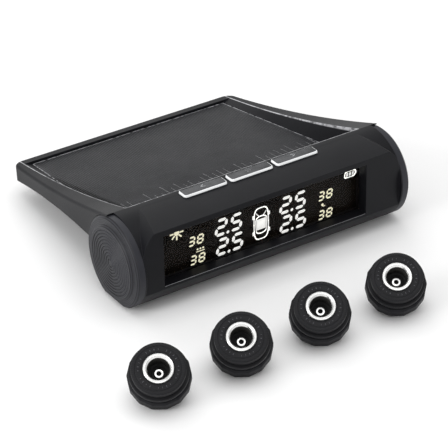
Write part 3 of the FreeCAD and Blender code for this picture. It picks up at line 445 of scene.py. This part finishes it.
wear("solar_glass", solarCells())
wear("solar_cells", metallic("CellFoil", (0.3, 0.31, 0.34), 0.4))
linePaste = moulded("LinePaste", (0.055, 0.056, 0.062), 0.45, 0.00001, 1.1)
contactPaste = moulded("ContactPaste", (0.5, 0.5, 0.52), 0.4, 0.00001, 1.1)
built("solar_lines", panelRibs(), linePaste, unit)
built("solar_contacts", panelContacts(), contactPaste, unit)
print("solar panel done")


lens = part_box("display_lens")
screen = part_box("lcd_panel")
centre = Vector(((lens[0].x + lens[1].x) / 2 + 0.7 * mm, 0, (lens[0].z + lens[1].z) / 2))
digitWhite = (0.93, 0.93, 0.90)
digitCream = (0.88, 0.84, 0.62)


def lensPlastic():  # smoked and glossy, mostly clear so the segments show through
    graph = Graph("SmokedLens", Specular_IOR_Level=0.12)
    cloudy = graph.fit(graph.noise(40.0), 0.3, 0.7)
    graph.set(Base_Color=graph.blend(cloudy, (0.010, 0.007, 0.005), (0.014, 0.010, 0.007)))
    graph.set(Roughness=graph.fit(graph.noise(120.0), 0.3, 0.7, 0.05, 0.12))
    graph.set(Alpha=graph.fit(graph.noise(20.0), 0.0, 1.0, 0.22, 0.26))
    graph.set(Normal=graph.bump(graph.noise(60.0), 0.000004, 0.4))
    return graph.material


wear("display_lens", lensPlastic())
wear("lcd_panel", moulded("LcdPolariser", (0.010, 0.0075, 0.0055), 0.35, 0.000002, 1.2))
wear("backlight", moulded("Diffuser", (0.78, 0.78, 0.76), 0.4, 0.00001, 1.1))
litWhite = glowing("SegmentWhite", digitWhite, 0.9)
litCream = glowing("SegmentCream", digitCream, 0.9)
segments = {"height": 6.5, "width": 4.7, "bar": 1.08, "gap": 0.2, "lean": 0.14, "thick": 0.05}
digitBars = {"2": "abged", "5": "afgcd", "3": "abgcd", "8": "abcdefg"}


def barOutline(bar, size):  # one pointed bar of the seven, about the digit's middle
    w = size["width"] / 2 - size["bar"] / 2
    h = size["height"] / 2 - size["bar"] / 2
    ends = {"a": ((-w, h), (w, h)), "b": ((w, h), (w, 0)), "c": ((w, 0), (w, -h)), "d": ((-w, -h), (w, -h)),
            "e": ((-w, -h), (-w, 0)), "f": ((-w, 0), (-w, h)), "g": ((-w, 0), (w, 0))}[bar]
    start, stop = Vector(ends[0]), Vector(ends[1])
    along = (stop - start).normalized()
    across = Vector((-along.y, along.x)) * size["bar"] / 2
    start += along * size["gap"]
    stop -= along * size["gap"]
    tip = along * size["bar"] / 2
    return [start, start + tip - across, stop - tip - across,
            stop, stop - tip + across, start + tip + across]


def flatPiece(name, outlines, x, z, material, lean=0.0):  # thin plates ahead of the panel, in millimetres
    mesh = bmesh.new()
    depth = segments["thick"] * mm
    for outline in outlines:
        points = []
        for p in outline:
            across = centre.x + (x + p[0] + lean * p[1]) * mm
            points.append(Vector((across, screen[0].y - 0.01 * mm, centre.z + (z + p[1]) * mm)))
        slab(mesh, points, Vector((0, -1, 0)), depth)
    bmesh.ops.recalc_face_normals(mesh, faces=mesh.faces)
    return built(name, mesh, material, unit)


def disc(x, z, radius, count=14):
    turn = [2 * math.pi * step / count for step in range(count)]
    return [(x + radius * math.cos(t), z + radius * math.sin(t)) for t in turn]


def number(name, text, x, z, scale, material, pitch=5.6):  # a reading, with its point where it has one
    size = {key: value * scale for key, value in segments.items()}
    outlines = []
    digits = [c for c in text if c != "."]
    for index, digit in enumerate(digits):
        shift = (index - (len(digits) - 1) / 2) * pitch * scale * 1.08
        for bar in digitBars[digit]:
            outlines.append([(p.x + shift, p.y) for p in barOutline(bar, size)])
    if "." in text:
        outlines.append(disc(-0.1 * scale, -size["height"] / 2 + size["bar"] * 0.5, 0.55 * scale))
    return flatPiece(name, outlines, x, z, material, segments["lean"])


def stroke(points, width, closed=False):  # outlines of the strokes that join a run of points
    runs = list(zip(points, points[1:]))
    if closed:
        runs.append((points[-1], points[0]))
    outlines = []
    for a, b in runs:
        a, b = Vector(a), Vector(b)
        along = (b - a).normalized() * width * 0.4
        across = Vector((-along.y, along.x)).normalized() * width / 2
        outlines.append([a - along - across, b + along - across, b + along + across, a - along + across])
    return outlines


def oval(x, z, rx, rz, start=0.0, stop=360.0, count=20, power=1.0):
    out = []
    for step in range(count + 1):
        t = math.radians(start + (stop - start) * step / count)
        c, s = math.cos(t), math.sin(t)
        out.append((x + rx * math.copysign(abs(c) ** power, c), z + rz * math.copysign(abs(s) ** power, s)))
    return out


readings = {"front_left": (-12.6, 1.55), "rear_left": (-12.3, -6.0), "front_right": (13.3, 1.35),
            "rear_right": (13.4, -6.1)}
heats = {"front_left": (-25.6, 0.0), "rear_left": (-25.2, -7.3), "front_right": (26.7, -0.2),
         "rear_right": (26.7, -7.6)}
for wheel, (x, z) in readings.items():
    number("reading_" + wheel, "2.5", x, z, 1.0, litWhite)
for wheel, (x, z) in heats.items():
    number("heat_" + wheel, "38", x, z, 0.56, litCream)


def carIcon():  # seen from above: body line, screens, cabin, mirrors and wheels
    lines = stroke(oval(0, 0, 2.9, 6.0, power=0.55, count=32), 0.42)
    lines += stroke(oval(0, 1.5, 2.2, 1.3, 20, 160, 10), 0.4)
    lines += stroke(oval(0, -2.6, 2.1, 1.2, 200, 340, 10), 0.4)
    lines += stroke([(-2.3, 1.6), (-2.0, -2.7)], 0.36) + stroke([(2.3, 1.6), (2.0, -2.7)], 0.36)
    lines.append([(-1.7, -2.3), (1.7, -2.3), (1.95, 1.7), (-1.95, 1.7)])
    lines += stroke([(-2.1, 4.3), (-0.9, 2.9)], 0.3) + stroke([(2.1, 4.3), (0.9, 2.9)], 0.3)
    for x in (-3.2, 3.2):
        lines.append([(x - 0.35, 2.3), (x + 0.35, 2.3), (x + 0.35, 3.7), (x - 0.35, 3.7)])
        lines.append([(x - 0.35, -4.0), (x + 0.35, -4.0), (x + 0.35, -2.6), (x - 0.35, -2.6)])
    return lines


def sunIcon():
    lines = [disc(0, 0, 1.0)]
    for step in range(8):
        t = 2 * math.pi * step / 8
        ends = [(reach * math.cos(t), reach * math.sin(t)) for reach in (1.35, 2.4)]
        lines += stroke(ends, 0.55)
    return lines


def batteryIcon():
    lines = stroke(oval(0, 0, 2.2, 1.15, power=0.45, count=28), 0.34)
    lines.append([(2.3, -0.45), (2.75, -0.45), (2.75, 0.45), (2.3, 0.45)])
    for x in (-1.2, 0.0, 1.2):
        lines.append([(x - 0.38, -0.62), (x + 0.38, -0.62), (x + 0.38, 0.62), (x - 0.38, 0.62)])
    return lines


flatPiece("car_icon", carIcon(), 0.3, -2.3, litWhite)
flatPiece("sun_icon", sunIcon(), -33.0, 5.2, litCream)
flatPiece("battery_icon", batteryIcon(), 37.0, 4.6, litWhite, 0.15)
unitMarks = {"left": {"x": -24.0, "dots": (-1.1, 0, 1.1), "dot": 0.36, "line": (-1.5, 1.5), "drop": -0.9},
             "right": {"x": 25.5, "dots": (0,), "dot": 0.5, "line": (0.2, 1.0), "drop": -0.6}}
for side, mark in unitMarks.items():  # plain dots over a short line
    marks = [disc(x, 0, mark["dot"]) for x in mark["dots"]]
    marks += stroke([(x, mark["drop"]) for x in mark["line"]], 0.3)
    flatPiece("unit_mark_" + side, marks, mark["x"], -3.7, litCream)

sill = {"left": -44.0 * mm, "right": 37.1 * mm, "y": -14.42 * mm, "z": 9.13 * mm, "below": 0.1 * mm,
        "above": 0.06 * mm, "proud": 0.02 * mm}


def sillGlint():  # a pale strip along the front edge of the window's sill, a painted highlight where the rounded edge catches the light
    mesh = bmesh.new()
    low, high = sill["z"] - sill["below"], sill["z"] + sill["above"]
    corners = [(sill["left"], low), (sill["right"], low), (sill["right"], high), (sill["left"], high)]
    slab(mesh, [(x, sill["y"], z) for x, z in corners], Vector((0, -1, 0)), sill["proud"])
    return mesh


# pale grey for the painted highlight on the sill's edge
sillGlintPaint = moulded("SillGlint", (0.34, 0.34, 0.36), 0.35, 0.00001, 1.1)
built("sill_glint", sillGlint(), sillGlintPaint, unit)
print("display done")


keys = {"round": 1.2 * mm, "flange": 0.5 * mm, "cornerSteps": 6, "line": 0.28, "ring": 0.26,
        "proud": 0.05 * mm}
rims = [{"side": -0.02, "front": -0.02, "rear": -0.02, "corner": 0.0, "height": -0.62},
        {"side": 0.14, "front": 0.14, "rear": 0.1, "corner": 0.1, "height": -0.08},
        {"side": 0.42, "front": 0.5, "rear": 0.22, "corner": 0.4, "height": 0.015}]


def keyShell():  # smoked translucent key: silver grey, paler towards its upper faces
    graph = Graph("KeyShell", Specular_IOR_Level=0.35)
    soft, edgeBand = graph.edge(0.3 * mm)
    cloudy = graph.fit(graph.noise(220.0, 4.0), 0.3, 0.7)
    graph.set(Base_Color=graph.blend(cloudy, (0.010, 0.011, 0.013), (0.05, 0.052, 0.058)))
    graph.set(Roughness=graph.fit(graph.noise(300.0), 0.3, 0.7, 0.22, 0.34) - edgeBand * 0.08)
    graph.set(Normal=graph.bump(graph.noise(1800.0), 0.000008, 0.5, soft))
    return graph.material


def capsule(x0, x1, y0, y1, radius):  # a rounded rectangle as a ring of points
    steps = keys["cornerSteps"]
    out = []
    for cx, cy, start in ((x1, y1, 0), (x0, y1, 90), (x0, y0, 180), (x1, y0, 270)):
        sx = -1 if cx == x1 else 1
        sy = -1 if cy == y1 else 1
        for step in range(steps + 1):
            t = math.radians(start + 90 * step / steps)
            out.append((cx + sx * radius + radius * math.cos(t), cy + sy * radius + radius * math.sin(t)))
    return out


def keyMesh(low, high, levels):  # stacked rounded rectangles, each drawn in by its own amount
    mesh = bmesh.new()
    rows = []
    for inset, height in levels:
        corner = max(keys["round"] - inset, 0.1 * mm)
        ring = capsule(low.x + inset, high.x - inset, low.y + inset, high.y - inset, corner)
        rows.append([mesh.verts.new((x, y, height)) for x, y in ring])
    joinRows(mesh, rows)
    mesh.faces.new(rows[0][::-1])
    mesh.faces.new(rows[-1])
    return mesh


def keyRim(low, high):  # the pale edge round the top of a key
    mesh = bmesh.new()
    rows = []
    for rim in rims:
        beside = rim["side"] * mm
        y0, y1 = low.y + rim["front"] * mm, high.y - rim["rear"] * mm
        ring = capsule(low.x + beside, high.x - beside, y0, y1, keys["round"] - rim["corner"] * mm)
        rows.append([mesh.verts.new((x, y, high.z + rim["height"] * mm)) for x, y in ring])
    joinRows(mesh, rows)
    return mesh


keyMaterial = keyShell()
edgeWhite = moulded("KeyEdge", (0.86, 0.87, 0.88), 0.25, 0.000004, 1.0, Coat_Weight=0.5)
iconInk = moulded("KeyIcon", (0.62, 0.63, 0.65), 0.3, 0.000004, 1.0)
for label in ("left", "set", "right"):
    node = "button_" + label
    low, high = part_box(node)
    low = Vector((low.x + keys["flange"], low.y, low.z))
    high = Vector((high.x - keys["flange"], high.y, high.z))
    top = high.z
    levels = [(0, low.z), (0, top - 0.62 * mm), (0.06 * mm, top - 0.38 * mm), (0.2 * mm, top - 0.17 * mm),
              (0.42 * mm, top - 0.04 * mm), (0.75 * mm, top)]
    body = node + "_key"
    key = built(node + "_shell", keyMesh(low, high, levels), keyMaterial, body)
    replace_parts(key, node)
    built(node + "_rim", keyRim(low, high), edgeWhite, body)
    icon = bmesh.new()
    cx, cy = (low.x + high.x) / 2, (low.y + high.y) / 2 + 0.4 * mm
    if label == "set":
        shapes = stroke(oval(0, 0, 0.8, 0.8, 0, 360, 16), keys["ring"])
    else:
        way = -1 if label == "left" else 1
        shapes = stroke([(-0.7 * way, 0.7), (0.7 * way, 0.0), (-0.7 * way, -0.7)], keys["line"])
    for shape in shapes:
        slab(icon, [(cx + p[0] * mm, cy + p[1] * mm, top) for p in shape], Vector((0, 0, 1)), keys["proud"])
    built(node + "_icon", icon, iconInk, body)
print("buttons done")


sensor = {"reach": 11.84, "facets": 14, "radius": 9.8, "rear": 4.5, "chamfer": 4.0, "cap": 8.6,
          "height": 14.2, "shoulder": 9.35, "head": 8.5, "groove": 7.9, "ticks": 30, "tickAt": 6.2}
blackNylon = (0.008, 0.008, 0.0095)


def facePlastic():  # fine turned rings over a matt grain
    graph = Graph("SensorFace", Specular_IOR_Level=0.2)
    soft, edgeBand = graph.edge(0.2 * mm)
    x, y = graph.parts(graph.place())[:2]
    away = (x * x + y * y).power(0.5)
    rings = (away * (2 * math.pi / (0.45 * mm))).sine()
    shade = graph.blend(graph.fit(rings, -1.0, 1.0), tinted(blackNylon, 0.8), tinted(blackNylon, 1.35))
    # paler edges: partly wear, partly a painted highlight along the rims
    graph.set(Base_Color=graph.blend(edgeBand, shade, tinted(blackNylon, 3.0)))
    graph.set(Roughness=graph.fit(graph.noise(240.0), 0.3, 0.7, 0.42, 0.58))
    graph.set(Normal=graph.bump(rings * 0.5 + graph.noise(4200.0, 4.0), 0.00002, 0.7, soft))
    return graph.material


sensorMaterials = {
    # the cap's paler edges (2.6) are partly wear, partly a painted highlight along its rims
    "cap": moulded("SensorCap", tinted(blackNylon, 1.5), 0.55, 0.00003, 2.6),
    "base": facePlastic(),
    "insert": metallic("InsertNickel", (0.86, 0.86, 0.85), 0.16, 1.0),
    # the bore's metal painted dark as the shade inside it
    "thread": metallic("ThreadShadow", (0.07, 0.068, 0.064), 0.45, 1.0),
    "seal": rubbery("SealRubber", (0.012, 0.012, 0.012)),
    "pin": metallic("PinSteel", (0.88, 0.88, 0.87), 0.2),
    "mark": moulded("FaceMarks", (0.10, 0.10, 0.11), 0.4, 0.00001, 1.1),
    "cell": metallic("CoinCell", (0.72, 0.72, 0.7), 0.28),
    "board": soldered("SensorBoard"),
}


def inPlace(piece, place):
    piece.data.transform(place)
    return piece


def seatOf(index):  # a sensor's own frame, with Z along its axis from its rear flat
    mount = [m for m in record["mounts"] if m["name"] == "sensor_%d_thread" % index][0]
    axis = Vector(mount["axis"])
    turn = Vector((0, 0, 1)).rotation_difference(axis).to_matrix().to_4x4()
    lean = Vector((axis.x, axis.y, 0)).normalized()
    return Matrix.Translation(Vector(mount["pos_m"]) - axis * sensor["reach"] * mm) @ turn, lean


def faceted(levels, turn):  # stacked polygons with a flat towards one heading
    mesh = bmesh.new()
    count = sensor["facets"]
    rows = []
    for radius, height in levels:
        corner = radius / math.cos(math.pi / count)
        angles = [turn + math.pi / count + 2 * math.pi * step / count for step in range(count)]
        ring = [(corner * math.cos(t) * mm, corner * math.sin(t) * mm, height * mm) for t in angles]
        rows.append([mesh.verts.new(point) for point in ring])
    joinRows(mesh, rows)
    mesh.faces.new(rows[0][::-1])
    return mesh, rows


def capMesh(turn):  # faceted flanks, a rolled rim and the cup inside it
    radius, height = sensor["radius"], sensor["cap"]
    outer = [(sensor["rear"], 0.0), (radius, sensor["chamfer"]), (radius, height - 0.5),
             (radius - 0.5, height)]
    inner = [(7.72, height), (7.72, 5.9), (6.65, 5.9), (6.65, 2.6)]
    mesh, rows = faceted(outer + inner, turn)
    mesh.faces.new(rows[-1])
    return mesh


def basePiece(name, place, body):  # spigot, shoulder, groove and rounded head
    low = sensor["cap"] + 1.0
    top = sensor["height"]
    shoulder, groove, head = (sensor[key] for key in ("shoulder", "groove", "head"))
    profile = [(6.6, low - 3.4), (7.6, low - 3.4), (7.6, low), (shoulder, low), (shoulder, low + 1.5),
               (groove, low + 1.5), (groove, low + 2.2), (head, low + 2.2), (head, top - 0.15),
               (head - 0.6, top), (7.4, top), (7.25, top - 0.16), (7.05, top - 0.16), (6.9, top),
               (5.5, top), (5.3, top - 0.2), (4.82, top - 0.2), (4.82, low + 3.0), (4.32, low + 3.0),
               (4.32, low), (6.6, low), (6.6, low - 3.4)]
    mesh = lathe([(r * mm, z * mm) for r, z in rounded(profile, 0.28)], 112)
    return inPlace(built(name, mesh, sensorMaterials["base"], body), place)


def insertPiece(name, place, body):  # two polished rings with a dark groove between them
    top = sensor["height"] + 0.35
    profile = [(4.3, 9.6), (4.3, 13.65), (4.8, 13.65), (4.8, top - 0.14), (4.7, top), (4.56, top),
               (4.48, top - 0.12), (4.22, top - 0.12), (4.14, top), (4.0, top), (3.9, top - 0.06),
               (3.46, top - 0.5), (3.46, top - 0.6)]
    mesh = lathe([(r * mm, z * mm) for r, z in rounded(profile, 0.06, 3)], 96)
    return inPlace(built(name, mesh, sensorMaterials["insert"], body), place)


def threadPiece(name, place, body):  # the bore, painted dark as the shade inside it, with the ridges of its thread
    top = sensor["height"] + 0.35 - 0.6
    profile = [(3.46, top)]
    pitch = 0.79
    height = top - 0.1
    while height > 10.2:
        profile += [(3.44, height), (3.74, height - pitch * 0.4), (3.44, height - pitch * 0.8)]
        height -= pitch
    profile += [(3.44, 9.6), (4.3, 9.6)]
    mesh = lathe([(r * mm, z * mm) for r, z in rounded(profile, 0.07, 3)], 96)
    return inPlace(built(name, mesh, sensorMaterials["thread"], body), place)


def pinPiece(name, place, body):
    profile = [(1.6, 7.0), (1.6, 9.3), (1.42, 9.5), (0.8, 9.5), (0.7, 9.4), (0.7, 8.6)]
    mesh = lathe([(r * mm, z * mm) for r, z in rounded(profile, 0.12)], 48)
    return inPlace(built(name, mesh, sensorMaterials["pin"], body), place)


def pinHole(name, place, body):
    profile = [(0.7, 9.38), (0.68, 8.5), (0.02, 8.4)]
    mesh = lathe([(r * mm, z * mm) for r, z in profile], 32)
    return inPlace(built(name, mesh, sensorMaterials["seal"], body), place)


def sealPiece(name, place, body):
    profile = [(1.62, 7.0), (4.28, 7.0), (4.28, 8.7), (4.0, 9.0), (3.2, 9.0), (3.0, 8.75), (2.4, 8.75),
               (2.2, 9.0), (1.62, 9.0), (1.62, 7.0)]
    mesh = lathe([(r * mm, z * mm) for r, z in rounded(profile, 0.15)], 64)
    return inPlace(built(name, mesh, sensorMaterials["seal"], body), place)


def marksPiece(name, place, body, turn):  # a broken ring of small plain ticks
    mesh = bmesh.new()
    top = sensor["height"] * mm
    chance = random.Random(7)
    for step in range(sensor["ticks"]):
        if step % 10 in (4, 9):
            continue
        angle = turn + 2 * math.pi * step / sensor["ticks"]
        long = chance.uniform(0.35, 0.75) * mm
        wide = chance.uniform(0.16, 0.3) * mm
        middle = Vector((math.cos(angle), math.sin(angle), 0)) * sensor["tickAt"] * mm
        out = Vector((math.cos(angle), math.sin(angle), 0)) * long / 2
        side = Vector((-math.sin(angle), math.cos(angle), 0)) * wide / 2
        lift = Vector((0, 0, top))
        corners = [middle - out - side + lift, middle + out - side + lift, middle + out + side + lift,
                   middle - out + side + lift]
        slab(mesh, corners, Vector((0, 0, 1)), 0.06 * mm)
    return inPlace(built(name, mesh, sensorMaterials["mark"], body), place)


for index in range(1, 5):
    name = "sensor_%d_" % index
    place, lean = seatOf(index)
    turn = math.atan2(lean.y, lean.x)
    front = name + "front"
    cap = built(name + "cap_shell", capMesh(turn), sensorMaterials["cap"], name + "rear")
    for face in cap.data.polygons:
        face.use_smooth = False
    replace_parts(softened(inPlace(cap, place), 0.28 * mm, 2, 12), name + "cap")
    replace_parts(basePiece(name + "base_shell", place, front), name + "base")
    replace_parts(insertPiece(name + "insert_turned", place, front), name + "insert")
    threadPiece(name + "insert_thread", place, front)
    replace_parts(pinPiece(name + "pin", place, front), name + "depressor")
    pinHole(name + "pin_hole", place, front)
    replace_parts(sealPiece(name + "seal_puck", place, front), name + "valve_seal")
    marksPiece(name + "marks", place, front, turn)
    wear(name + "cap_seal", sensorMaterials["seal"])
    wear(name + "board", sensorMaterials["board"])
    wear(name + "cell", sensorMaterials["cell"])
print("sensors done")

padRubber = rubbery("PadRubber", (0.016, 0.016, 0.017), 0.8)
steel = metallic("ZincSteel", (0.55, 0.55, 0.56), 0.32)
inside = {
    "base_pad": padRubber, "rear_foot": padRubber, "base_screws": steel,
    "main_board": soldered("MainBoard"), "button_board": soldered("ButtonBoard"),
    "tact_switches": metallic("SwitchSteel", (0.6, 0.6, 0.58), 0.35),
    "rf_shield": metallic("TinPlate", (0.62, 0.63, 0.64), 0.3),
    "usb_inlet": metallic("InletSteel", (0.6, 0.6, 0.6), 0.25),
    "antenna_coil": metallic("CopperWire", (0.72, 0.38, 0.2), 0.3),
    "battery_cell": moulded("CellSleeve", (0.03, 0.12, 0.36), 0.3, 0.00001, 1.4, Coat_Weight=0.5),
    "battery_cradle": rubbery("CradleFoam", (0.02, 0.02, 0.02), 0.9, 900.0),
    "buzzer": moulded("BuzzerCase", (0.015, 0.015, 0.015), 0.5),
}
for node, material in inside.items():
    wear(node, material)
print("inner pieces done")


studio = {"floor": 4.0, "drop": 0.0003, "sky": 0.76, "skyColor": (1.0, 1.0, 1.0, 1.0)}
lights = {
    "backLight": {"place": (0.15, 0.95, 0.85), "target": (0, 0.03, 0.01), "size": (1.1, 0.7), "power": 2.6},
    "leftLight": {"place": (-1, -0.05, 0.45), "target": (-0.03, 0, 0.01), "size": (0.5, 0.5), "power": 4.6},
    "topLight": {"place": (0.0, -0.1, 1.1), "target": (0, 0, 0.0), "size": (0.9, 0.9), "power": 3.2},
}


def stagePlane():
    graph = Graph("PaleFloor", Specular_IOR_Level=0.2)
    clouds = graph.fit(graph.noise(3.0), 0.3, 0.7)
    graph.set(Base_Color=graph.blend(clouds, (0.93, 0.93, 0.93), (0.95, 0.95, 0.95)))
    graph.set(Roughness=graph.fit(graph.noise(8.0), 0.3, 0.7, 0.7, 0.8))
    mesh = bmesh.new()
    bmesh.ops.create_grid(mesh, x_segments=2, y_segments=2, size=studio["floor"])
    data = bpy.data.meshes.new("floor")
    mesh.to_mesh(data)
    mesh.free()
    floor = bpy.data.objects.new("floor", data)
    data.materials.append(graph.material)
    bpy.context.collection.objects.link(floor)
    floor.location = (0, 0, -studio["drop"])


def softbox(name, place, target, size, power):
    light = bpy.data.lights.new(name, "AREA")
    light.shape = "RECTANGLE"
    light.size, light.size_y = size
    light.energy = power
    lamp = bpy.data.objects.new(name, light)
    lamp.location = place
    lamp.rotation_euler = (Vector(target) - Vector(place)).to_track_quat("-Z", "Y").to_euler()
    bpy.context.collection.objects.link(lamp)


stagePlane()
for name, light in lights.items():
    softbox(name, **light)
world = bpy.data.worlds.new("studio")
bpy.context.scene.world = world
bpy.context.scene.view_settings.view_transform = "Standard"
world.use_nodes = True
world.node_tree.nodes["Background"].inputs[0].default_value = studio["skyColor"]
world.node_tree.nodes["Background"].inputs[1].default_value = studio["sky"]

view = {"azimuth": -33.0, "elevation": 30.56, "roll": -1.19, "place": (-0.3576, -0.5333, 0.3901),
        "focal": 2200 / 448 * 36, "far": 10.0}
azimuth, elevation, roll = (math.radians(view[key]) for key in ("azimuth", "elevation", "roll"))
level = math.cos(elevation)
back = Vector((math.sin(azimuth) * level, -math.cos(azimuth) * level, math.sin(elevation)))
right = (-back).cross(Vector((0, 0, 1))).normalized()
up = right.cross(-back)
rolledRight = right * math.cos(roll) + up * math.sin(roll)
rolledUp = up * math.cos(roll) - right * math.sin(roll)
turn = Matrix((rolledRight, rolledUp, back)).transposed().to_4x4()
lensData = bpy.data.cameras.new("camera")
lensData.lens = view["focal"]
lensData.clip_end = view["far"]
camera = bpy.data.objects.new("camera", lensData)
camera.matrix_world = Matrix.Translation(Vector(view["place"])) @ turn
bpy.context.collection.objects.link(camera)
bpy.context.scene.camera = camera
print("stage done")
